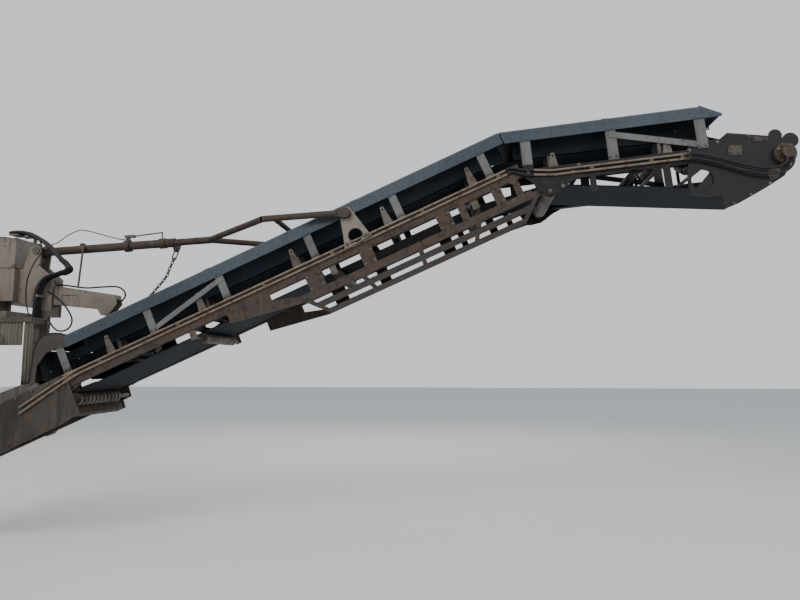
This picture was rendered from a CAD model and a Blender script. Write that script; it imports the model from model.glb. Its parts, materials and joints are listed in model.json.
# %% [markdown]
# # A milling machine's discharge conveyor
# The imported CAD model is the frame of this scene: every solid keeps its size and place, and this script gives it
# the looks of a machine that has worked outdoors for years. Two boxes are kept, the CAD model's and the dressed
# model's, because the dressing may not grow the machine.

# %% Load the frame
import json
import math

import bmesh
import bpy
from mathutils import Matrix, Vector


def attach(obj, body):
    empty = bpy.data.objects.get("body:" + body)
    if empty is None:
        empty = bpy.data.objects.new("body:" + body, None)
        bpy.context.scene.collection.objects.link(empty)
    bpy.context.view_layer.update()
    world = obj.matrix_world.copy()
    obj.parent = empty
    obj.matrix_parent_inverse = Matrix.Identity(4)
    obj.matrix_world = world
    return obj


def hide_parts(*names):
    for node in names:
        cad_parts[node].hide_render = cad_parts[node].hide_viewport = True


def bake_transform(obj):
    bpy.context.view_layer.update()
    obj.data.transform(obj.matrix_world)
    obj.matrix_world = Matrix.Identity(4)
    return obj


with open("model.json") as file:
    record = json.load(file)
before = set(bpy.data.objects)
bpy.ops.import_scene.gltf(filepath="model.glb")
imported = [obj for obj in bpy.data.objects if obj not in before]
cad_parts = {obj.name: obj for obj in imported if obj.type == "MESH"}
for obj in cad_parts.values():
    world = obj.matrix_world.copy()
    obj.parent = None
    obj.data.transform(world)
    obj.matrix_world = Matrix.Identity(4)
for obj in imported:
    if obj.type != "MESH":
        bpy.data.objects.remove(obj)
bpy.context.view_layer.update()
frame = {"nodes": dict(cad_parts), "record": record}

# %% [markdown]
# The photograph was taken from beside the machine, about 5.5 m from the conveyor's centre plane, at eye height, with
# the camera tipped up a little. A lens of 27 mm on a 36 mm sensor gives the same spread of view. The place and the
# two angles are set so that the knee, the head and the cylinder's pin fall where the photograph has them.

# %% Camera
camera_data = bpy.data.cameras.new("site_camera")
camera_data.sensor_width = 36.0
camera_data.lens = 27.05
camera_data.clip_end = 200.0
camera = bpy.data.objects.new("site_camera", camera_data)
camera.location = (5.350, -5.550, -0.100)
camera.rotation_euler = (math.radians(96.27), 0.0, math.radians(5.7))
bpy.context.scene.collection.objects.link(camera)
bpy.context.scene.camera = camera

# %% [markdown]
# The two conveyor sections lie on slopes. It is easier to think along the belt (u), across it (y) and square to it
# (v), in millimetres, and to turn that into the scene's metres in one place. A rotated parent object would do the
# same, but the finished pieces have to sit at the origin, so the slope goes into their points.

# %% Conveyor coordinates
LUFF = (930.0, -738.0)
MAIN_SLOPE = math.radians(24.1)
KNEE = (5530.0, -179.0)
TIP_SLOPE = math.radians(5.5)
STAY_PIN = (1190.0, 1030.0)
STAY_EYE = (3950.0, 354.0)


def on_main(u, y, v):
    """Point of the main section, in metres."""
    c, s = math.cos(MAIN_SLOPE), math.sin(MAIN_SLOPE)
    return Vector((LUFF[0] + u * c - v * s, y, LUFF[1] + u * s + v * c)) / 1000


def on_tip(u, y, v):
    """Point of the folding tip section, in metres."""
    knee = on_main(KNEE[0], 0, KNEE[1]) * 1000
    c, s = math.cos(TIP_SLOPE), math.sin(TIP_SLOPE)
    return Vector((knee.x + u * c - v * s, y, knee.z + u * s + v * c)) / 1000


def on_row(x, y, z):
    """Point of the mounting frame's own axes, in metres."""
    return Vector((x, y, z)) / 1000


# %% [markdown]
# A plain pale floor lies under the machine, as far below the mounting frame as the ground is.

# %% Floor
FLOOR_Z = -1.70
floor_mesh = bpy.data.meshes.new("floor")
floor_mesh.from_pydata([(-30, -30, FLOOR_Z), (40, -30, FLOOR_Z), (40, 40, FLOOR_Z), (-30, 40, FLOOR_Z)], [],
                       [(0, 1, 2, 3)])
floor = bpy.data.objects.new("floor", floor_mesh)
bpy.context.scene.collection.objects.link(floor)
floor_material = bpy.data.materials.new("floor_pale")
floor_material.use_nodes = True
floor_shader = floor_material.node_tree.nodes["Principled BSDF"]
floor_shader.inputs["Base Color"].default_value = (0.62, 0.62, 0.61, 1)
floor_shader.inputs["Roughness"].default_value = 0.9
floor_mesh.materials.append(floor_material)

# %% [markdown]
# The camera and glossy rays see a pale surround, and all other rays get a weaker sky. One bright surround for all rays
# would be simpler, but its light would wash out the object.

# %% Surround
world = bpy.data.worlds.new("studio")
bpy.context.scene.world = world
world.use_nodes = True
wt = world.node_tree
wt.nodes.clear()
out = wt.nodes.new("ShaderNodeOutputWorld")
mix = wt.nodes.new("ShaderNodeMixShader")
path = wt.nodes.new("ShaderNodeLightPath")
seen = wt.nodes.new("ShaderNodeBackground")
lit = wt.nodes.new("ShaderNodeBackground")
seen.inputs["Color"].default_value = (0.84, 0.87, 0.90, 1)
lit.inputs["Color"].default_value = (0.88, 0.94, 1.0, 1)
lit.inputs["Strength"].default_value = 0.75
either = wt.nodes.new("ShaderNodeMath")
either.operation = "MAXIMUM"
for output, socket in ((path.outputs["Is Camera Ray"], either.inputs[0]),
                       (path.outputs["Is Glossy Ray"], either.inputs[1]), (either.outputs[0], mix.inputs[0]),
                       (lit.outputs[0], mix.inputs[1]), (seen.outputs[0], mix.inputs[2]),
                       (mix.outputs[0], out.inputs["Surface"])):
    wt.links.new(output, socket)

# %% [markdown]
# Soft studio light: a large key panel behind the camera and up to the left, a weaker fill from the right, and a rim
# panel behind the conveyor. Large panels give the soft edges to the shadows that a sun lamp wouldn't.

# %% Lights
def panel(name, place, target, size, watts):
    """Rectangular lamp that looks at a target; all in metres and watts."""
    data = bpy.data.lights.new(name, "AREA")
    data.shape = "RECTANGLE"
    data.size, data.size_y = size
    data.energy = watts
    lamp = bpy.data.objects.new(name, data)
    lamp.location = place
    lamp.rotation_euler = (Vector(target) - Vector(place)).to_track_quat("-Z", "Y").to_euler()
    bpy.context.scene.collection.objects.link(lamp)


panel("key_panel", (0.0, -9.0, 7.0), (4.0, 0.0, 0.0), (6.0, 4.0), 820)
panel("fill_panel", (11.0, -7.0, 4.0), (4.0, 0.0, 0.5), (5.0, 4.0), 300)
panel("rim_panel", (4.0, 8.0, 6.0), (4.0, 0.0, 0.5), (7.0, 3.0), 350)

# %% [markdown]
# Paint that has stood outdoors is never one colour. Five effects make nearly all of it: cloudy blotches, runs that
# the rain draws downwards, dust on what faces up, grain too fine to model, and paint knocked off the edges. Pictures
# of real paint could be wrapped round each piece instead, but patterns that are worked out need no unwrapping and
# don't blur close up. Each effect is a node group with named inputs, built once, that puts out a mask between 0 and 1.

# %% Helpers for node trees
def new_group(name, sizes, result):
    """Empty shader group with its float inputs and one output; returns tree, input node, output node."""
    tree = bpy.data.node_groups.new(name, "ShaderNodeTree")
    for label, value in sizes.items():
        socket = tree.interface.new_socket(name=label, in_out="INPUT", socket_type="NodeSocketFloat")
        socket.default_value = value
    tree.interface.new_socket(name=result, in_out="OUTPUT", socket_type="NodeSocketFloat")
    return tree, tree.nodes.new("NodeGroupInput"), tree.nodes.new("NodeGroupOutput")


def add(tree, kind, values=None, **settings):
    """New node with its settings, and the values of the inputs that stay unlinked."""
    made = tree.nodes.new(kind)
    for key, value in settings.items():
        setattr(made, key, value)
    for label, value in (values or {}).items():
        made.inputs[label].default_value = value
    return made


def connect(tree, *links):
    """Links between nodes, each given as (node, its output, node, its input)."""
    for source, output, target, entry in links:
        tree.links.new(source.outputs[output], target.inputs[entry])


# %% [markdown]
# Blotches, runs and grain are the same noise with other sizes. A run is a blotch that was stretched: the noise is read
# at a tenth of the height, so it changes slowly downwards. The noise is cut between two levels, which decide how much
# of the surface it covers and how sharp its edge is.

# %% Blotches, runs and grain
def stretched_noise(name, stretch, detail, rough):
    """Group of one noise over the object's own coordinates, cut between Low and High."""
    tree, given, result = new_group(name, {"Scale": 4.0, "Low": 0.5, "High": 0.6}, "Mask")
    place = add(tree, "ShaderNodeTexCoord")
    turn = add(tree, "ShaderNodeMapping", {"Scale": stretch})
    noise = add(tree, "ShaderNodeTexNoise", {"Detail": detail, "Roughness": rough})
    cut = add(tree, "ShaderNodeMapRange", interpolation_type="SMOOTHSTEP")
    connect(tree, (place, "Object", turn, "Vector"), (turn, "Vector", noise, "Vector"),
            (given, "Scale", noise, "Scale"), (noise, "Fac", cut, "Value"), (given, "Low", cut, "From Min"),
            (given, "High", cut, "From Max"), (cut, "Result", result, "Mask"))
    return tree


blotches = stretched_noise("blotches", (1, 1, 1), 8.0, 0.62)
rain_runs = stretched_noise("rain_runs", (1, 1, 0.09), 6.0, 0.7)
grain = stretched_noise("fine_grain", (1, 1, 1), 5.0, 0.75)

# %% [markdown]
# Dust lies where a face looks up. Paint chips where an edge is: there a rounded copy of the normal, which the Bevel
# node gives, turns away from the flat one. Both come in patches, so both are multiplied by a noise.

# %% Dust and chips
def patchy_group(name, patchiness, detail, rough, low, high):
    """Group that breaks a mask up with a noise; returns the tree and the node that waits for that mask."""
    tree, given, result = new_group(name, {"Patchiness": patchiness, "Amount": 1.0}, "Mask")
    place = add(tree, "ShaderNodeTexCoord")
    noise = add(tree, "ShaderNodeTexNoise", {"Detail": detail, "Roughness": rough})
    spread = add(tree, "ShaderNodeMapRange", {"From Min": low, "From Max": high})
    both = add(tree, "ShaderNodeMath", operation="MULTIPLY")
    scaled = add(tree, "ShaderNodeMath", operation="MULTIPLY", use_clamp=True)
    connect(tree, (place, "Object", noise, "Vector"), (given, "Patchiness", noise, "Scale"),
            (noise, "Fac", spread, "Value"), (spread, "Result", both, 1), (both, 0, scaled, 0),
            (given, "Amount", scaled, 1), (scaled, 0, result, "Mask"))
    return tree, both


dust_on_top, dust_mask = patchy_group("dust_on_top", 6.0, 7.0, 0.65, 0.35, 0.65)
facing = add(dust_on_top, "ShaderNodeTexCoord")
split = add(dust_on_top, "ShaderNodeSeparateXYZ")
upward = add(dust_on_top, "ShaderNodeMapRange", {"From Min": 0.35, "From Max": 0.95},
             interpolation_type="SMOOTHSTEP")
connect(dust_on_top, (facing, "Normal", split, "Vector"), (split, "Z", upward, "Value"),
        (upward, "Result", dust_mask, 0))

edge_chips, chip_mask = patchy_group("edge_chips", 30.0, 6.0, 0.7, 0.42, 0.58)
rounded = add(edge_chips, "ShaderNodeBevel", {"Radius": 0.006}, samples=3)
flat = add(edge_chips, "ShaderNodeNewGeometry")
turned = add(edge_chips, "ShaderNodeVectorMath", operation="DOT_PRODUCT")
off = add(edge_chips, "ShaderNodeMapRange", {"From Min": 0.995, "From Max": 0.90})
connect(edge_chips, (rounded, "Normal", turned, 0), (flat, "Normal", turned, 1),
        (turned, "Value", off, "Value"), (off, "Result", chip_mask, 0))
GROUPS = {"blotches": blotches, "runs": rain_runs, "dust": dust_on_top, "chips": edge_chips, "grain": grain}
print("node groups:", sorted(GROUPS))

# %% [markdown]
# A finish is a base colour with layers over it. Each layer is one of the groups above with its own sizes, and says
# what colour and roughness show where its mask is 1. A fine grain feeds the bump, so that even clean paint isn't a
# mirror-flat plane.

# %% Layered finish
def layered(name, color, rough, layers, metal=0.0, bump=(220.0, 0.0006), strength=0.35, gleam=0.4):
    """Material with a base and layers of (group, sizes, colour, roughness, share)."""
    material = bpy.data.materials.new(name)
    material.use_nodes = True
    tree = material.node_tree
    shader = tree.nodes["Principled BSDF"]
    shader.inputs["Metallic"].default_value = metal
    shader.inputs["Specular IOR Level"].default_value = gleam

    def feed(socket, value):
        """Sets a plain value, or links a node's output."""
        if isinstance(value, (tuple, float)):
            socket.default_value = value
        else:
            tree.links.new(value, socket)

    shade, gloss = (*color, 1), rough
    for kind, sizes, over, over_rough, share in layers:
        effect = add(tree, "ShaderNodeGroup", sizes, node_tree=GROUPS[kind])
        part = add(tree, "ShaderNodeMath", {1: share}, operation="MULTIPLY", use_clamp=True)
        tree.links.new(effect.outputs["Mask"], part.inputs[0])
        blend = add(tree, "ShaderNodeMix", {"B": (*over, 1)}, data_type="RGBA")
        wear = add(tree, "ShaderNodeMix", {"B": over_rough}, data_type="FLOAT")
        for mixer, below in ((blend, shade), (wear, gloss)):
            tree.links.new(part.outputs[0], mixer.inputs["Factor"])
            feed(mixer.inputs["A"], below)
        shade, gloss = blend.outputs["Result"], wear.outputs["Result"]
    feed(shader.inputs["Base Color"], shade)
    feed(shader.inputs["Roughness"], gloss)
    fine = add(tree, "ShaderNodeGroup", {"Scale": bump[0], "Low": 0.3, "High": 0.7}, node_tree=GROUPS["grain"])
    ripple = add(tree, "ShaderNodeBump", {"Strength": strength, "Distance": bump[1]})
    connect(tree, (fine, "Mask", ripple, "Height"), (ripple, "Normal", shader, "Normal"))
    return material


RUST = (0.070, 0.034, 0.019)
DUST = (0.17, 0.150, 0.120)
MUD = (0.080, 0.066, 0.052)


def cloud(scale, low, high):
    """Sizes of a noise layer."""
    return {"Scale": scale, "Low": low, "High": high}


def patches(size):
    """Sizes of a dust or chip layer."""
    return {"Patchiness": size, "Amount": 1.0}


# %% [markdown]
# The real machine's finishes, one for each slot of the record: dusty cream enamel on the frame, rust coming through
# brown paint on the side frames, dull galvanised sheet on the covers, oily black at the tip, and rubber. Three pieces
# differ from the rest of their slot: the skirts, the hopper and the oil-soaked plates at the tail.

# %% Finishes
FINISH = {
    "frame_cream": layered("cream_enamel", (0.150, 0.124, 0.100), 0.55, [
        ("blotches", cloud(1.6, 0.42, 0.68), (0.092, 0.074, 0.060), 0.65, 0.85),
        ("runs", cloud(14.0, 0.50, 0.70), (0.040, 0.030, 0.024), 0.6, 0.7),
        ("blotches", cloud(11.0, 0.60, 0.68), RUST, 0.85, 0.75),
        ("dust", patches(5.0), DUST, 0.9, 0.7),
        ("chips", patches(22.0), RUST, 0.8, 0.85)]),
    "rusty_paint": layered("rust_through_brown", (0.040, 0.029, 0.023), 0.7, [
        ("blotches", cloud(3.0, 0.42, 0.62), (0.056, 0.034, 0.024), 0.8, 0.9),
        ("blotches", cloud(17.0, 0.52, 0.62), (0.024, 0.016, 0.013), 0.85, 0.8),
        ("runs", cloud(18.0, 0.55, 0.70), (0.082, 0.068, 0.054), 0.75, 0.45),
        ("dust", patches(7.0), MUD, 0.95, 0.7),
        ("chips", patches(26.0), (0.15, 0.115, 0.085), 0.65, 0.5)],
        bump=(160.0, 0.0012), strength=0.5, gleam=0.3),
    "pale_paint": layered("pale_grey_enamel", (0.100, 0.103, 0.100), 0.55, [
        ("blotches", cloud(2.2, 0.40, 0.66), (0.062, 0.061, 0.057), 0.65, 0.85),
        ("runs", cloud(16.0, 0.50, 0.70), (0.045, 0.036, 0.029), 0.6, 0.7),
        ("blotches", cloud(14.0, 0.60, 0.68), RUST, 0.85, 0.7),
        ("chips", patches(24.0), RUST, 0.8, 0.9)]),
    "black_paint": layered("oily_black", (0.010, 0.010, 0.011), 0.45, [
        ("blotches", cloud(2.5, 0.45, 0.66), (0.022, 0.019, 0.017), 0.6, 0.9),
        ("runs", cloud(14.0, 0.50, 0.66), (0.005, 0.005, 0.006), 0.30, 0.8),
        ("blotches", cloud(13.0, 0.62, 0.70), (0.060, 0.040, 0.028), 0.8, 0.6),
        ("dust", patches(6.0), (0.060, 0.052, 0.043), 0.9, 0.6),
        ("chips", patches(30.0), (0.075, 0.055, 0.043), 0.5, 0.6)],
        bump=(120.0, 0.0014), strength=0.5, gleam=0.15),
    "pipe_paint": layered("tan_pipe_paint", (0.15, 0.108, 0.074), 0.45, [
        ("blotches", cloud(6.0, 0.48, 0.62), (0.085, 0.060, 0.042), 0.6, 0.8),
        ("blotches", cloud(24.0, 0.58, 0.64), RUST, 0.85, 0.85),
        ("dust", patches(9.0), DUST, 0.9, 0.5)]),
    "galvanised": layered("dull_galvanised_sheet", (0.034, 0.045, 0.057), 0.50, [
        ("blotches", cloud(1.1, 0.40, 0.68), (0.024, 0.032, 0.042), 0.6, 0.9),
        ("blotches", cloud(34.0, 0.46, 0.60), (0.056, 0.069, 0.083), 0.45, 0.4),
        ("runs", cloud(9.0, 0.52, 0.74), (0.028, 0.029, 0.030), 0.65, 0.65),
        ("dust", patches(3.0), DUST, 0.9, 0.35),
        ("chips", patches(16.0), (0.115, 0.128, 0.140), 0.45, 0.7)],
        metal=0.15, bump=(60.0, 0.0008), strength=0.25, gleam=0.3),
    "bare_steel": layered("worn_steel", (0.085, 0.075, 0.065), 0.45, [
        ("blotches", cloud(5.0, 0.45, 0.62), (0.060, 0.044, 0.034), 0.65, 0.85),
        ("blotches", cloud(21.0, 0.56, 0.64), RUST, 0.85, 0.8),
        ("dust", patches(8.0), MUD, 0.9, 0.7)],
        metal=0.4, bump=(180.0, 0.0008), gleam=0.3),
    "belt_rubber": layered("belt_rubber", (0.010, 0.013, 0.018), 0.66, [
        ("blotches", cloud(2.4, 0.42, 0.64), (0.018, 0.021, 0.025), 0.8, 0.9),
        ("runs", cloud(12.0, 0.50, 0.68), (0.032, 0.032, 0.031), 0.85, 0.5),
        ("dust", patches(5.0), (0.060, 0.056, 0.050), 0.95, 0.6)],
        bump=(240.0, 0.0008), strength=0.45, gleam=0.12),
    "hose_rubber": layered("hose_rubber", (0.010, 0.011, 0.014), 0.48, [
        ("blotches", cloud(8.0, 0.48, 0.66), (0.028, 0.026, 0.024), 0.65, 0.8),
        ("dust", patches(12.0), (0.075, 0.068, 0.058), 0.9, 0.5)],
        bump=(300.0, 0.0005), gleam=0.2),
    "curtain_rubber": layered("pleated_curtain_rubber", (0.115, 0.108, 0.082), 0.72, [
        ("runs", cloud(22.0, 0.46, 0.66), (0.055, 0.049, 0.038), 0.8, 0.8),
        ("blotches", cloud(9.0, 0.54, 0.66), (0.032, 0.028, 0.023), 0.8, 0.7),
        ("dust", patches(9.0), DUST, 0.9, 0.5)],
        bump=(260.0, 0.0010), strength=0.5, gleam=0.2),
    "hood_rubber": layered("brown_hood_rubber", (0.026, 0.017, 0.013), 0.28, [
        ("blotches", cloud(3.0, 0.44, 0.66), (0.040, 0.028, 0.021), 0.42, 0.9),
        ("runs", cloud(12.0, 0.54, 0.70), (0.085, 0.066, 0.048), 0.6, 0.5),
        ("dust", patches(6.0), (0.10, 0.082, 0.064), 0.85, 0.3)],
        bump=(90.0, 0.0012), strength=0.4, gleam=0.5),
}
skirt_rubber = layered("blue_black_skirt_rubber", (0.017, 0.026, 0.036), 0.6, [
    ("blotches", cloud(1.6, 0.42, 0.66), (0.011, 0.015, 0.020), 0.7, 0.9),
    ("runs", cloud(9.0, 0.50, 0.70), (0.040, 0.042, 0.042), 0.8, 0.5),
    ("dust", patches(5.0), (0.060, 0.056, 0.050), 0.95, 0.5)],
    bump=(120.0, 0.0008), strength=0.4, gleam=0.25)
hopper_enamel = layered("olive_hopper_enamel", (0.072, 0.070, 0.056), 0.6, [
    ("blotches", cloud(3.4, 0.42, 0.64), (0.055, 0.050, 0.036), 0.7, 0.9),
    ("runs", cloud(13.0, 0.48, 0.68), (0.028, 0.023, 0.018), 0.6, 0.8),
    ("chips", patches(20.0), RUST, 0.8, 0.8)])
tail_plate_paint = layered("oil_soaked_plate", (0.050, 0.041, 0.033), 0.55, [
    ("blotches", cloud(1.8, 0.40, 0.62), (0.022, 0.018, 0.015), 0.6, 0.9),
    ("runs", cloud(10.0, 0.44, 0.64), (0.014, 0.011, 0.010), 0.35, 0.85),
    ("blotches", cloud(12.0, 0.58, 0.66), RUST, 0.85, 0.8),
    ("chips", patches(18.0), (0.11, 0.088, 0.070), 0.6, 0.7)], gleam=0.3)
slot_of = {p["node"]: p["material_slot"] for p in frame["record"]["subparts"]}
for name, obj in frame["nodes"].items():
    obj.data.materials.clear()
    obj.data.materials.append(FINISH[slot_of[name]])
frame["nodes"]["tail_hopper"].data.materials[0] = hopper_enamel
frame["nodes"]["tail_plates"].data.materials[0] = tail_plate_paint
for name in ("main_skirts", "tip_skirts"):
    frame["nodes"][name].data.materials[0] = skirt_rubber
print("finishes:", len({node.data.materials[0].name for node in frame["nodes"].values()}))

# %% [markdown]
# New pieces are made in code as plain meshes, because their points are known numbers. One helper turns points and
# faces into an object with its finish, and one turns faces outwards where their order doesn't see to it.

# %% Pieces
def make_piece(name, verts, faces, slot, body=None, smooth=False, finish=None):
    """Mesh object at the origin, with its finish, that rides on a body unless it's still to be blended."""
    mesh = bpy.data.meshes.new(name)
    mesh.from_pydata([tuple(v) for v in verts], [], faces)
    mesh.materials.append(finish or FINISH[slot])
    mesh.validate()
    if smooth:
        mesh.polygons.foreach_set("use_smooth", [True] * len(mesh.polygons))
    obj = bpy.data.objects.new(name, mesh)
    bpy.context.scene.collection.objects.link(obj)
    if body:
        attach(obj, body)
    return obj


def tidy_normals(obj):
    """Points every face outwards."""
    bm = bmesh.new()
    bm.from_mesh(obj.data)
    bmesh.ops.recalc_face_normals(bm, faces=bm.faces)
    bm.to_mesh(obj.data)
    bm.free()
    return obj


# %% [markdown]
# Anything round and bent is a tube along a route. A few points are enough to say where it goes: the route is rounded
# through them, and each ring of the tube is turned from the one before, so that the tube doesn't twist.

# %% Routes and tubes
def through(points, steps=5):
    """Smooth route through a few points."""
    p = [Vector(q) for q in points]
    last = len(p) - 1
    route = []
    for i in range(last):
        a, b, c, d = p[max(i - 1, 0)], p[i], p[i + 1], p[min(i + 2, last)]
        for s in range(steps):
            t = s / steps
            route.append(0.5 * (2 * b + (c - a) * t + (2 * a - 5 * b + 4 * c - d) * t * t
                                + (3 * b - a - 3 * c + d) * t ** 3))
    return route + [p[last]]


def tube(route, radii, sides=14):
    """Closed tube along a route; radii is one number, or one for each point."""
    if isinstance(radii, float):
        radii = [radii] * len(route)
    verts, faces = [], []
    side = None
    for i, place in enumerate(route):
        ahead = (route[min(i + 1, len(route) - 1)] - route[max(i - 1, 0)]).normalized()
        if side is None:
            side = ahead.cross(Vector((0, 1, 0)) if abs(ahead.y) < 0.9 else Vector((1, 0, 0)))
        side = (side - ahead * side.dot(ahead)).normalized()
        up = ahead.cross(side)
        for k in range(sides):
            a = math.tau * k / sides
            verts.append(place + radii[i] * (side * math.cos(a) + up * math.sin(a)))
    for i in range(len(route) - 1):
        for k in range(sides):
            n = (k + 1) % sides
            faces.append((i * sides + k, i * sides + n, (i + 1) * sides + n, (i + 1) * sides + k))
    faces.append(tuple(reversed(range(sides))))
    faces.append(tuple((len(route) - 1) * sides + k for k in range(sides)))
    return verts, faces


# %% [markdown]
# Sheet and plate are an outline with a thickness. Parts that belong together, such as the strips of a flap, become
# one piece.

# %% Plates and joined parts
def joined(parts):
    """Several (verts, faces) as one."""
    verts, faces = [], []
    for some, theirs in parts:
        faces += [tuple(i + len(verts) for i in f) for f in theirs]
        verts += list(some)
    return verts, faces


def slab(corners, depth):
    """Closed plate from an outline and the vector of its thickness."""
    n = len(corners)
    verts = [Vector(c) for c in corners] + [Vector(c) + Vector(depth) for c in corners]
    faces = [tuple(range(n)), tuple(reversed(range(n, 2 * n)))]
    faces += [(i, n + i, n + (i + 1) % n, (i + 1) % n) for i in range(n)]
    return verts, faces


# %% [markdown]
# The hydraulic hoses are real lengths of stiff hose: they leave a fitting, sag or arch as far as the braid allows and
# go into the next fitting. A simulated rope would find that line by itself, but the photograph shows it already, so
# a curve with a round bevel follows it. The mast hoses repeat the routes of the CAD model.

# %% Hoses and cables
def hose_line(name, body, points, radius, node=None):
    """Declared hose through a few points (mm already turned to metres)."""
    route = through(points, 6)
    curve = bpy.data.curves.new(name, "CURVE")
    curve.dimensions = "3D"
    curve.bevel_depth = radius
    curve.bevel_resolution = 4
    curve.use_fill_caps = True
    spline = curve.splines.new("POLY")
    spline.points.add(len(route) - 1)
    for point, place in zip(spline.points, route):
        point.co = (*place, 1)
    curve.materials.append(FINISH["hose_rubber"])
    obj = bpy.data.objects.new(name, curve)
    bpy.context.scene.collection.objects.link(obj)
    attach(obj, body)
    if node:
        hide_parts(node)


def on_rows(points):
    """Several points of the mounting frame's axes, in metres."""
    return [on_row(*point) for point in points]


GUIDE_Z = 1182.0
MAST_HOSE_R, LINE_HOSE_R, CABLE_R, HEAD_HOSE_R = 0.015, 0.008, 0.006, 0.0105
MAST_HOSES = [(-108, 0, 0), (-143, 12, -16), (-178, 4, 6)]


def hose_corner(y, rise, shift):
    """The mast hoses' sharp corner in front of the column."""
    return [(1470 + shift, y, 960 + rise), (1560 + shift, y, 878 + rise), (1590 + shift, y, 838),
            (1562 + shift, y, 808), (1470 + shift, y, 784)]


for number, (y, rise, shift) in enumerate(MAST_HOSES, 1):
    hose_line(f"mast_hose_{number}", "mast", on_rows([
        (975, y, GUIDE_Z + 16), (1045, y, GUIDE_Z + 18 + rise), (1120, y, GUIDE_Z + 8 + rise), (1200, y, 1165 + rise),
        (1353, y, 1076 + rise), *hose_corner(y, rise, shift), (1375, y, 748), (1317, y, 682), (1290, y, 600),
        (1282, y, 480), (1280, y, 357)]), MAST_HOSE_R, node="mast_hoses")
hose_line("arm_hose", "mast", on_rows([
    (1386, -36, 684), (1420, -37, 694), (1480, -38, 690), (1560, -38, 680), (1700, -36, 662), (1850, -34, 668),
    (1975, -34, 672), (2050, -32, 662), (2100, -29, 620), (2106, -26, 572), (2070, -23, 530), (2010, -20, 516),
    (1960, -20, 520)]), LINE_HOSE_R)
hose_line("column_hose", "mast", on_rows([
    (1350, -80, 618), (1384, -90, 602), (1440, -97, 572), (1512, -99, 510), (1578, -99, 432), (1618, -97, 352),
    (1604, -95, 282), (1545, -93, 240), (1468, -91, 244), (1408, -88, 292), (1374, -84, 340),
    (1368, -83, 376)]), LINE_HOSE_R)
hose_line("cheek_cable", "mast", on_rows([
    (1296, -192, 1114), (1330, -197, 1060), (1330, -198, 985), (1262, -200, 880), (1215, -204, 740),
    (1205, -204, 620), (1225, -206, 470), (1272, -214, 352)]), CABLE_R)

# %% [markdown]
# The mast hoses turn their sharp corner in forged elbows, because a braid of this size can't bend that far. Each
# elbow is a thicker tube over the hose's own line, with a collar at both ends.

# %% Elbows
ELBOW_R, COLLAR_R = 0.0185, 0.0205
elbows = []
for hose in MAST_HOSES:
    bend = through(on_rows(hose_corner(*hose)), 6)[3:-3]
    elbows.append(tube(bend, [ELBOW_R if 2 < i < len(bend) - 3 else COLLAR_R for i in range(len(bend))], 12))
make_piece("mast_hose_elbows", *joined(elbows), "black_paint", "mast", smooth=True)

# %% [markdown]
# Two hoses run along the head to the drum's motor. They are drawn tight over the side plate and end in crimped
# sleeves with a hexagon nut, which are short tubes whose radius steps up and down.

# %% Head hoses
def ferrule(place, ahead, radius, length=0.045):
    """Crimped sleeve with its hexagon nut, along a direction."""
    ahead = ahead.normalized()
    steps = [(0.0, 1.25), (0.12, 1.25), (0.14, 1.5), (0.42, 1.5), (0.44, 1.22), (1.0, 1.22)]
    return tube([place + ahead * length * t for t, _ in steps], [radius * r for _, r in steps], 12)


head_routes = {
    "head_hose_1": [(1176, -573, 160), (1232, -576, 157), (1310, -578, 138), (1420, -577, 98), (1590, -577, 22),
                    (1740, -588, -34), (1845, -600, -46), (1882, -602, -39), (1913, -603, -18), (1934, -603, 13),
                    (1940, -603, 33)],
    "head_hose_2": [(1176, -573, 122), (1232, -576, 116), (1310, -577, 94), (1420, -576, 52), (1580, -576, -22),
                    (1740, -586, -82), (1868, -600, -94), (1913, -604, -85), (1951, -606, -59), (1977, -606, -21),
                    (1984, -606, 20), (1984, -606, 34)]}
sleeves = []
for name, places in head_routes.items():
    places = [on_tip(*p) for p in places]
    hose_line(name, "tip", places, HEAD_HOSE_R)
    sleeves.append(ferrule(places[0] - (places[1] - places[0]) * 0.3, places[1] - places[0], HEAD_HOSE_R))
    sleeves.append(ferrule(places[-1], places[-2] - places[-1], HEAD_HOSE_R, 0.03))
make_piece("head_ferrules", *joined(sleeves), "bare_steel", "tip", smooth=True)

# %% [markdown]
# A thin line feeds the cylinder's valve. It starts on the mast and ends on the barrel, which tilts, so it rides on
# neither: it is blended from the one to the other and stretches between them.

# %% Valve line
VALVE_LINE_R = 0.005
valve_route = through(on_rows([
    (1236, -84, 1050), (1290, -86, 1072), (1346, -84, 1090), (1416, -82, 1112), (1500, -66, 1182), (1608, -44, 1238),
    (1700, -28, 1230), (1801, -14, 1203), (1955, -6, 1160), (2066, -4, 1142)]), 6)
valve_line = make_piece("valve_line", *tube(valve_route, VALVE_LINE_R, 8), "hose_rubber", smooth=True)
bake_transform(valve_line)

# %% [markdown]
# The pleated curtain hangs from its rail at the transfer point and keeps the stones in. Rubber sheet hung in pleats
# follows a wave that grows a little towards its free edge, so that wave is made directly, without a cloth simulation.
# The flat width is the length of the wave, measured here, so that the sheet is exactly as long as the piece it was
# cut from.

# %% Curtain
RAIL_Y, RAIL_TOP, PLEAT = 420.0, 345.0, 15.0
HEM_TOP = RAIL_TOP - 6
SHEET_T = 0.003


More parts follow.
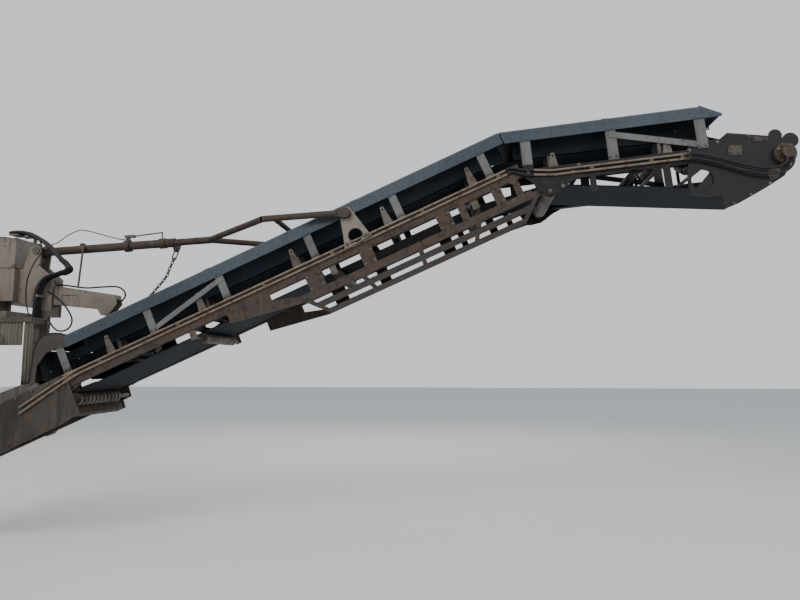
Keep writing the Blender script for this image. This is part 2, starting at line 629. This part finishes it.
def pleated_sheet(name, x0, x1, folds, z0, side, seed):
    """Hung sheet between two places along the row, from the rail's top down to z0."""
    across, down = folds * 14, 14
    verts = []
    for j in range(down + 1):
        fall = j / down
        for i in range(across + 1):
            wave = math.sin(math.pi * folds * 2 * i / across - math.pi / 2)
            wander = 0.9 * math.sin(i * 0.37 + seed) * fall
            y = RAIL_Y - PLEAT * (0.5 + 0.5 * wave) * (0.86 + 0.14 * fall)
            x = x0 + (x1 - x0) * i / across + wander * 1.6
            verts.append(on_row(x, side * (y - abs(wander)), HEM_TOP + (z0 - HEM_TOP) * fall))
    row = across + 1
    faces = [(j * row + i, j * row + i + 1, (j + 1) * row + i + 1, (j + 1) * row + i)
             for j in range(down) for i in range(across)]
    obj = make_piece(name, verts, faces, "curtain_rubber", smooth=True)
    thick = obj.modifiers.new("sheet_thickness", "SOLIDIFY")
    thick.thickness = SHEET_T
    thick.offset = 0.0
    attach(obj, "mast")
    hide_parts("transfer_curtain")


pleated_sheet("curtain_near", 900, 1370, 14, 90, -1, 0.4)
pleated_sheet("curtain_drape", 1380, 1470, 3, -269, -1, 1.7)
pleated_sheet("curtain_far", 900, 1010, 3, 90, 1, 2.9)

# %% [markdown]
# At the knee the belt and the two oil pipes cross from one section to the other. The belt goes round the rollers
# there and the pipes become short hoses, so both bend as the tip folds: each is lofted from the main section's end to
# the tip's first point, in many rows, and blended between the two bodies.

# %% Belt and hoses over the knee
BELT_W, BELT_T, FLAT_HALF = 650.0, 10.0, 125.0
WING, WING_L = math.radians(30), 200.0
MAIN_END, TIP_START = 5340.0, -255.0
RETURN_BEND, RETURN_FALL = 4984.0, 0.139
PIPE_END, TIP_PIPE_START, PIPE_LEAD = 5326.0, -56.0, 45.0


def trough_ring(place, u, v):
    """Belt's closed section at a place: along the top from wing to wing, and back along the underside."""
    dy, dv = WING_L * math.cos(WING), WING_L * math.sin(WING)
    top = [(-FLAT_HALF - dy, dv), (-FLAT_HALF, 0), (FLAT_HALF, 0), (FLAT_HALF + dy, dv)]
    return [place(u, y, v + h) for y, h in top] + [place(u, y, v + h - BELT_T) for y, h in reversed(top)]


def flat_ring(place, u, v):
    """Return run's closed section at a place."""
    half = BELT_W / 2
    return [place(u, y, v - t) for y, t in ((-half, 0), (half, 0), (half, BELT_T), (-half, BELT_T))]


def bridge(name, first, last, rows=24):
    """Closed rubber loft between two rings, blended from the main section to the tip."""
    n = len(first)
    verts = [first[k].lerp(last[k], r / rows) for r in range(rows + 1) for k in range(n)]
    faces = [(r * n + k, r * n + (k + 1) % n, (r + 1) * n + (k + 1) % n, (r + 1) * n + k)
             for r in range(rows) for k in range(n)]
    faces += [tuple(reversed(range(n))), tuple(rows * n + k for k in range(n))]
    obj = tidy_normals(make_piece(name, verts, faces, "belt_rubber"))
    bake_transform(obj)


bridge("belt_over_knee", trough_ring(on_main, MAIN_END, 166), trough_ring(on_tip, TIP_START, 270))
bridge("belt_under_knee", flat_ring(on_main, MAIN_END, -(MAIN_END - RETURN_BEND) * RETURN_FALL),
       flat_ring(on_tip, 35, 110.7))
for number, (v_main, v_tip) in enumerate([(114, 184), (76, 142)], 1):
    a, b = on_main(PIPE_END, -561, v_main), on_tip(TIP_PIPE_START, -573, v_tip)
    lead = on_main(PIPE_END + PIPE_LEAD, -563, v_main) - on_main(PIPE_END, -563, v_main)
    tail = on_tip(TIP_PIPE_START, -573, v_tip) - on_tip(TIP_PIPE_START - PIPE_LEAD, -573, v_tip)
    route = through([a, a + lead, (a + b) / 2 + Vector((0, -0.004, 0.006)), b - tail, b], 8)
    knee_hose = make_piece(f"knee_hose_{number}", *tube(route, HEAD_HOSE_R), "hose_rubber", smooth=True)
    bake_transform(knee_hose)

# %% [markdown]
# Bolts and chain links repeat by the dozen. Modelled one by one they would be hard to change, so a Geometry Nodes tree
# grows them from points or a route. Both trees begin with the same kind of sockets and end with the same two steps:
# the instances are made real, because the export drops instances, and get their material.

# %% Tree helpers
def new_tree(name, sizes):
    """Geometry Nodes tree with a geometry, float sizes and a finish; returns tree, input node, output node."""
    tree = bpy.data.node_groups.new(name, "GeometryNodeTree")
    face = tree.interface
    face.new_socket(name="Geometry", in_out="INPUT", socket_type="NodeSocketGeometry")
    for label, value in sizes.items():
        face.new_socket(name=label, in_out="INPUT", socket_type="NodeSocketFloat").default_value = value
    face.new_socket(name="Finish", in_out="INPUT", socket_type="NodeSocketMaterial")
    face.new_socket(name="Geometry", in_out="OUTPUT", socket_type="NodeSocketGeometry")
    return tree, tree.nodes.new("NodeGroupInput"), tree.nodes.new("NodeGroupOutput")


def end_tree(tree, given, result, instances):
    """Last steps of a tree: real geometry with its material."""
    real = add(tree, "GeometryNodeRealizeInstances")
    paint = add(tree, "GeometryNodeSetMaterial")
    connect(tree, (instances, "Instances", real, "Geometry"), (real, "Geometry", paint, "Geometry"),
            (given, "Finish", paint, "Material"), (paint, "Geometry", result, "Geometry"))


# %% [markdown]
# The bolt tree puts a hexagon head on a washer at each point of a small cloud, and turns it to face the direction that
# the point carries. A random turn about its own axis, from a fixed seed, is there because the heads on a machine
# never line up. The points are all that the script says about each bolt.

# %% Bolt tree
bolt_tree, given, result = new_tree("bolts_on_points", {
    "Head Radius": 0.011, "Head Height": 0.009, "Washer Radius": 0.016, "Washer Height": 0.003})
bolt_tree.interface.new_socket(name="Seed", in_out="INPUT", socket_type="NodeSocketInt").default_value = 3
head = add(bolt_tree, "GeometryNodeMeshCylinder", {"Vertices": 6})
washer = add(bolt_tree, "GeometryNodeMeshCylinder", {"Vertices": 14})
head_middle = add(bolt_tree, "ShaderNodeMath", {1: 0.5}, operation="MULTIPLY_ADD")
washer_middle = add(bolt_tree, "ShaderNodeMath", {1: 0.5}, operation="MULTIPLY")
whole = add(bolt_tree, "GeometryNodeJoinGeometry")
for label, cylinder, middle in (("Head", head, head_middle), ("Washer", washer, washer_middle)):
    height = add(bolt_tree, "ShaderNodeCombineXYZ")
    lift = add(bolt_tree, "GeometryNodeTransform")
    connect(bolt_tree, (given, f"{label} Radius", cylinder, "Radius"), (given, f"{label} Height", cylinder, "Depth"),
            (given, f"{label} Height", middle, 0), (middle, 0, height, "Z"), (height, 0, lift, "Translation"),
            (cylinder, "Mesh", lift, "Geometry"), (lift, "Geometry", whole, "Geometry"))
spots = add(bolt_tree, "GeometryNodeInstanceOnPoints")
outward = add(bolt_tree, "GeometryNodeInputNamedAttribute", {"Name": "outward"}, data_type="FLOAT_VECTOR")
aim = add(bolt_tree, "FunctionNodeAlignRotationToVector", axis="Z")
chance = add(bolt_tree, "FunctionNodeRandomValue", {"Max": 1.047}, data_type="FLOAT")
spin_axis = add(bolt_tree, "ShaderNodeCombineXYZ")
spin = add(bolt_tree, "GeometryNodeRotateInstances")
connect(bolt_tree, (given, "Washer Height", head_middle, 2), (given, "Geometry", spots, "Points"),
        (whole, "Geometry", spots, "Instance"), (outward, 0, aim, "Vector"), (aim, "Rotation", spots, "Rotation"),
        (given, "Seed", chance, "Seed"), (chance, 1, spin_axis, "Z"), (spots, "Instances", spin, "Instances"),
        (spin_axis, 0, spin, "Rotation"))
end_tree(bolt_tree, given, result, spin)


def grown(name, tree, verts, edges, settings, body, outward=None):
    """Plain mesh of what a tree grows on some points, riding on a body."""
    seedlings = bpy.data.meshes.new(name + "_points")
    seedlings.from_pydata([tuple(v) for v in verts], edges, [])
    if outward:
        faces_to = seedlings.attributes.new("outward", "FLOAT_VECTOR", "POINT")
        faces_to.data.foreach_set("vector", [c for v in outward for c in v])
    bed = bpy.data.objects.new(name + "_points", seedlings)
    bpy.context.scene.collection.objects.link(bed)
    modifier = bed.modifiers.new("grow", "NODES")
    modifier.node_group = tree
    for socket in tree.interface.items_tree:
        if socket.in_out == "INPUT" and socket.name in settings:
            modifier[socket.identifier] = settings[socket.name]
    bpy.context.view_layer.update()
    ready = bed.evaluated_get(bpy.context.evaluated_depsgraph_get())
    mesh = bpy.data.meshes.new_from_object(ready)
    mesh.name = name
    bed.modifiers.clear()
    bpy.data.objects.remove(bed)
    bpy.data.meshes.remove(seedlings)
    obj = bpy.data.objects.new(name, mesh)
    bpy.context.scene.collection.objects.link(obj)
    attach(obj, body)
    print(name, len(mesh.polygons), "faces")
    return obj


# %% [markdown]
# Where the bolts sit on the main section: at the feet and tops of the cover posts, on the stay brackets, the pipe
# clamps and the webs, and along the tail plates, on both sides of the conveyor. Rows come from the posts' own places,
# so that a bolt can't stray from its post.

# %% Main section's bolts
def bolt_set(name, place, spots, body, size=1.0, slot="bare_steel", far=True):
    """Bolts at (u, distance from the centre plane, v), on both sides unless far is false."""
    verts, faces_to = [], []
    for side in ((-1, 1) if far else (-1,)):
        for u, y, v in spots:
            verts.append(place(u, side * y, v))
            faces_to.append((0, side, 0))
    return grown(name, bolt_tree, verts, [], {
        "Head Radius": 0.011 * size, "Head Height": 0.008 * size, "Washer Radius": 0.016 * size,
        "Washer Height": 0.003 * size, "Seed": 3, "Finish": FINISH[slot]}, body, faces_to)


MAIN_POSTS = [1144, 1997, 2708, 3556, 4367, 5194]
TIP_POSTS = [-94, 614, 1333]
CHORD_Y, LIP_Y, TAIL_Y = 550, 560, 562
HOOD_END = 1240
post_bolts = [(u + d, CHORD_Y, 150) for u in MAIN_POSTS for d in (-17, 17)]
lip_bolts = [(u + d, LIP_Y, 356) for u in MAIN_POSTS if u > HOOD_END for d in (-18, 18)]
bolt_set("post_bolts_main", on_main, post_bolts, "main")
bolt_set("lip_bolts_main", on_main, lip_bolts, "main", 0.6, "galvanised")
bolt_set("bracket_bolts_main", on_main, [(3850, 584, 104), (3894, 584, 108), (4016, 584, 112), (4046, 584, 106)],
         "main", 1.1)
bolt_set("clamp_bolts_main", on_main, [(u, 564, 95) for u in (1450, 2220, 3050, 3700, 4550, 5250)], "main", 0.7,
         far=False)
bolt_set("web_bolts_main", on_main, [(u + d, CHORD_Y, v) for u, w in
                                     ((3474, 150), (3969, 120), (4691, 130), (5183, 84))
                                     for d in (-w / 2 + 18, w / 2 - 18) for v in (-112, -8)], "main", 0.8)
bolt_set("tail_bolts", on_main, [(u, TAIL_Y, 108) for u in range(-480, 1100, 158)]
         + [(u, TAIL_Y, 20) for u in (980, 1070)], "main")

# %% [markdown]
# The tip has fewer posts and its own knee plates. The ring of bolts round each motor is worked out from its centre.

# %% Tip bolts
MOTOR_U, MOTOR_V, MOTOR_RING, MOTOR_Y = 1947, 66, 68, 577
post_bolts = [(u + d, CHORD_Y, 222) for u in TIP_POSTS[1:] for d in (-24, 24)]
lip_bolts = [(u + d, LIP_Y, 466) for u in TIP_POSTS for d in (-22, 22)]
bolt_set("post_bolts_tip", on_tip, post_bolts, "tip")
bolt_set("lip_bolts_tip", on_tip, lip_bolts, "tip", 0.6, "galvanised")
bolt_set("knee_bolts_tip", on_tip, [(60, 562, -8), (170, 562, 20), (-100, 562, 170), (265, 562, 128),
                                    (320, 562, 180)], "tip", 1.1)
bolt_set("clamp_bolts_tip", on_tip, [(u, 576, 141) for u in (420, 900, 1150)], "tip", 0.7, far=False)
motor_bolts = [(MOTOR_U + MOTOR_RING * math.cos(a), MOTOR_Y, MOTOR_V + MOTOR_RING * math.sin(a))
               for a in [math.tau * k / 8 + 0.2 for k in range(8)]]
bolt_set("motor_bolts", on_tip, motor_bolts, "tip", 0.8)

# %% [markdown]
# Each link of the chain is a small ring, stretched and turned a quarter against the one before. The second tree
# resamples a route at the chain's pitch, sweeps a ring of wire once and puts a copy at each step, along the route.

# %% Chain tree
chain_tree, given, result = new_tree("links_on_route", {
    "Pitch": 0.030, "Link Radius": 0.011, "Wire Radius": 0.004, "Stretch": 1.75})
to_route = add(chain_tree, "GeometryNodeMeshToCurve")
paced = add(chain_tree, "GeometryNodeResampleCurve", mode="LENGTH")
loop = add(chain_tree, "GeometryNodeCurvePrimitiveCircle", {"Resolution": 14})
stretch = add(chain_tree, "ShaderNodeCombineXYZ", {"Y": 1.0, "Z": 1.0})
pulled = add(chain_tree, "GeometryNodeTransform")
wire = add(chain_tree, "GeometryNodeCurvePrimitiveCircle", {"Resolution": 6})
swept = add(chain_tree, "GeometryNodeCurveToMesh")
spots = add(chain_tree, "GeometryNodeInstanceOnPoints")
along = add(chain_tree, "GeometryNodeInputTangent")
aim = add(chain_tree, "FunctionNodeAlignRotationToVector", axis="X")
which = add(chain_tree, "GeometryNodeInputIndex")
odd = add(chain_tree, "ShaderNodeMath", {1: 2.0}, operation="MODULO")
quarter = add(chain_tree, "ShaderNodeMath", {1: math.pi / 2}, operation="MULTIPLY")
quarter_axis = add(chain_tree, "ShaderNodeCombineXYZ")
twist = add(chain_tree, "GeometryNodeRotateInstances")
connect(chain_tree, (given, "Geometry", to_route, "Mesh"), (to_route, "Curve", paced, "Curve"),
        (given, "Pitch", paced, "Length"), (given, "Link Radius", loop, "Radius"),
        (given, "Stretch", stretch, "X"), (loop, "Curve", pulled, "Geometry"), (stretch, 0, pulled, "Scale"),
        (given, "Wire Radius", wire, "Radius"), (pulled, "Geometry", swept, "Curve"),
        (wire, "Curve", swept, "Profile Curve"), (paced, "Curve", spots, "Points"),
        (swept, "Mesh", spots, "Instance"), (along, 0, aim, "Vector"), (aim, "Rotation", spots, "Rotation"),
        (which, 0, odd, 0), (odd, 0, quarter, 0), (quarter, 0, quarter_axis, "X"),
        (spots, "Instances", twist, "Instances"), (quarter_axis, 0, twist, "Rotation"))
end_tree(chain_tree, given, result, twist)

# %% [markdown]
# The chain hangs from the lug under the stay by a shackle, and both ride with the stay. The route is drawn in the
# stay's own axes: along it (s), across it (y) and square to it (w).

# %% Chain and shackle
EYE = on_main(STAY_EYE[0], 0, STAY_EYE[1]) * 1000
STAY_ANGLE = math.atan2(EYE.z - STAY_PIN[1], EYE.x - STAY_PIN[0])


def on_stay(s, y, w):
    """Point of the lift stay, in metres: along it, across it and square to it."""
    c, t = math.cos(STAY_ANGLE), math.sin(STAY_ANGLE)
    return Vector((STAY_PIN[0] + s * c - w * t, y, STAY_PIN[1] + s * t + w * c)) / 1000


LUG, CHAIN_Y = 1405.0, 16
HALF_RING = 8
chain_route = through([on_stay(LUG - back, CHAIN_Y, w) for back, w in (
    (36, -165), (78, -250), (115, -330), (195, -420), (275, -505))], 6)
links = grown("stay_chain_links", chain_tree, chain_route, [(i, i + 1) for i in range(len(chain_route) - 1)],
              {"Pitch": 0.032, "Link Radius": 0.0125, "Wire Radius": 0.0054, "Stretch": 1.75,
               "Finish": FINISH["bare_steel"]}, "lift_rod")
ring_top, ring_low, ring_r = (LUG - 3, -74), (LUG - 33, -150), 19.5
ring_turn = math.atan2(ring_top[1] - ring_low[1], ring_top[0] - ring_low[0])
ring_route = []
for (s, w), first in ((ring_top, ring_turn - math.pi / 2), (ring_low, ring_turn + math.pi / 2)):
    for k in range(HALF_RING + 1):
        a = first + math.pi * k / HALF_RING
        ring_route.append(on_stay(s + ring_r * math.cos(a), CHAIN_Y, w + ring_r * math.sin(a)))
ring_route.append(ring_route[0])
pin_route = [on_stay(LUG, y, -70) for y in (-14, -10, 22, 26)]
shackle = make_piece("stay_shackle", *joined([tube(ring_route, 0.0066, 10),
                                              tube(pin_route, [0.011, 0.009, 0.009, 0.011], 12)]),
                     "bare_steel", "lift_rod", smooth=True)
for piece in (links, shackle):
    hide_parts("stay_chain")

# %% [markdown]
# The brown hood at the transfer has a dark seam along both of its outer edges, made as a bead along the hood's own
# line. Two panels of the cover meet at each lap, where a strap of the same sheet covers the joint: it is the cover's
# own section, a little larger, drawn out over a short length.

# %% Hood seam and cover laps
roof = through([(1214, 0, 466), (1117, 0, 511), (1017, 0, 518), (919, 0, 444)], 6)
leg = through([(919, 0, 444), (856, 0, 326), (786, 0, 198)], 6)
edge = roof + leg[1:]
seams = [tube([on_main(p.x, side * 553, p.z + 1) for p in edge], 0.008, 10) for side in (-1, 1)]
make_piece("hood_seams", *joined(seams), "hose_rubber", "main", smooth=True)


def lap_strap(place, u, width, top, low):
    """Strap over the cover's section at u."""
    out = [(-558, low), (-558, top - 12), (-537, top + 3), (-250, top + 17.4), (0, top + 21), (250, top + 17.4),
           (537, top + 3), (558, top - 12), (558, low)]
    inn = [(-555.5, low), (-555.5, top - 14), (-535, top), (-250, top + 14.4), (0, top + 18), (250, top + 14.4),
           (535, top), (555.5, top - 14), (555.5, low)]
    n = len(out)
    verts = [place(at, y, v) for at in (u, u + width) for y, v in out + inn]
    faces = []
    for i in range(n - 1):
        faces += [(i, i + 1, 2 * n + i + 1, 2 * n + i), (n + i, 3 * n + i, 3 * n + i + 1, n + i + 1),
                  (i, n + i, n + i + 1, i + 1), (2 * n + i, 2 * n + i + 1, 3 * n + i + 1, 3 * n + i)]
    faces += [(0, 2 * n, 3 * n, n), (n - 1, 2 * n - 1, 4 * n - 1, 3 * n - 1)]
    return verts, faces


tidy_normals(make_piece("cover_laps_main", *joined([lap_strap(on_main, u, 60, 450, 374) for u in (2590, 4010)]),
                        "galvanised", "main"))
tidy_normals(make_piece("cover_lap_tip", *lap_strap(on_tip, 560, 60, 560, 484), "galvanised", "tip"))

# %% [markdown]
# Rubber flaps keep the dust in. One hangs inside the far posts round the transfer. One hangs across the hood's rear
# opening, down to the load, and is slit so that its strips can lift.

# %% Flaps
flap = [(812, 132), (858, 300), (925, 420), (1017, 500), (1117, 496), (1210, 446), (1680, 432), (1680, 132)]
tidy_normals(make_piece("transfer_flap_far", *slab([on_main(u, 533.8, v) for u, v in flap], (0, 0.008, 0)),
                        "belt_rubber", "main"))
STRIP_W, STRIP_PITCH = 116, 118.5
strip_depth = on_main(2.6, 0, 0) - on_main(0, 0, 0)
strips = []
for k in range(9):
    y0 = -532 + k * STRIP_PITCH
    off_centre = abs(y0 + STRIP_W / 2)
    low = 150 if off_centre > 350 else 190 + 0.28 * off_centre
    outline = ((y0, low), (y0 + STRIP_W, low), (y0 + STRIP_W, 440), (y0, 440))
    strips.append(slab([on_main(908 + (k % 2) * 3, y, v) for y, v in outline], strip_depth))
tidy_normals(make_piece("hood_end_flap", *joined(strips), "belt_rubber", "main"))

# %% [markdown]
# A guard plate and worn brackets sit on the head's side plate, the guard partly behind its lightening hole. Bolts from
# the first tree hold them.

# %% Head guard and brackets
guard = [(1222, -140), (1372, 8), (1400, -10), (1400, -166), (1250, -176)]
tidy_normals(make_piece("head_guard", *slab([on_tip(u, -530, v) for u, v in guard], (0, 0.006, 0)),
                        "black_paint", "tip"))
brackets = [[(1520, 112), (1624, 104), (1630, 178), (1560, 196), (1524, 182)],
            [(1728, 206), (1838, 196), (1842, 226), (1734, 244)],
            [(1800, -52), (1884, -40), (1902, -76), (1866, -122), (1806, -134)]]
plates = [slab([on_tip(u, -542, v) for u, v in outline], (0, -0.005, 0)) for outline in brackets]
tidy_normals(make_piece("head_brackets", *joined(plates), "frame_cream", "tip", finish=tail_plate_paint))
bolt_set("head_bracket_bolts", on_tip, [(1540, 547, 130), (1608, 547, 124), (1545, 547, 176), (1750, 547, 228),
                                        (1822, 547, 212), (1822, 547, -68), (1870, 547, -62), (1830, 547, -112)],
         "tip", 0.8, far=False)
bolt_set("head_plate_bolts", on_tip, [(1220, 542, 196), (1220, 542, 146), (1500, 542, -292), (1640, 542, -236),
                                      (1800, 542, -160), (1700, 542, 252), (1450, 542, 236), (1260, 542, 236)],
         "tip", 0.9, far=False)
